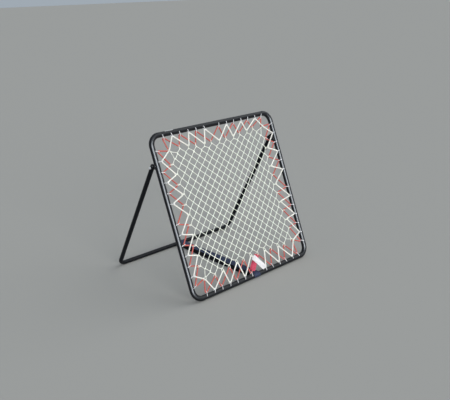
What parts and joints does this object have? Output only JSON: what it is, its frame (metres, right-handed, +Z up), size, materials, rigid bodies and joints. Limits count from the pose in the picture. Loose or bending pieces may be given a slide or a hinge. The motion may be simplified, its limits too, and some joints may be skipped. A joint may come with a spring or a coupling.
{
  "type": "rebounder net",
  "caption": "Square tube frame leaning on a hinged U-shaped leg, with a diagonal net hung in it on two zigzag elastic lacings and a webbing strap that holds the stand open.",
  "frame": {"origin": "on the floor, under the middle of the stand's outline when it stands open", "axes": "+X to the right as seen from the side that the ball hits, +Y from the net towards the rear leg, +Z up"},
  "size_m": [1.01, 0.795, 0.9382],
  "materials": {
    "frame_paint": "gloss",
    "leg_paint": "gloss",
    "bracket_paint": "gloss",
    "fastener_zinc": "satin",
    "cap_plastic": "matte",
    "strap_webbing": "matte",
    "net_twine": "matte",
    "white_cord": "matte",
    "red_cord": "matte",
    "white_fabric": "matte",
    "crimson_fabric": "matte"
  },
  "bodies": {
    "frame": {"front_frame": "frame_paint", "hinge_bracket_left": "bracket_paint", "hinge_bracket_right": "bracket_paint", "hinge_bolt_left": "fastener_zinc", "hinge_bolt_right": "fastener_zinc", "hinge_nut_left": "fastener_zinc", "hinge_nut_right": "fastener_zinc", "outer_washer_left": "fastener_zinc", "outer_washer_right": "fastener_zinc", "middle_washer_left": "fastener_zinc", "middle_washer_right": "fastener_zinc", "inner_washer_left": "fastener_zinc", "inner_washer_right": "fastener_zinc", "opening_strap": "strap_webbing", "net": "net_twine", "edge_twine": "net_twine", "lacing_white": "white_cord", "lacing_red": "red_cord", "joint_sleeve_white": "white_fabric", "joint_sleeve_red": "crimson_fabric"},
    "leg": {"rear_leg": "leg_paint", "leg_cap_left": "cap_plastic", "leg_cap_right": "cap_plastic"}
  },
  "joints": [
    {"name": "leg_fold", "type": "hinge", "parent": "frame", "child": "leg", "pos_m": [0, -0.04886, 0.74677], "axis": [-1, 0, 0], "range_deg": [0, 51.2], "deforming": ["opening_strap"]}
  ]
}
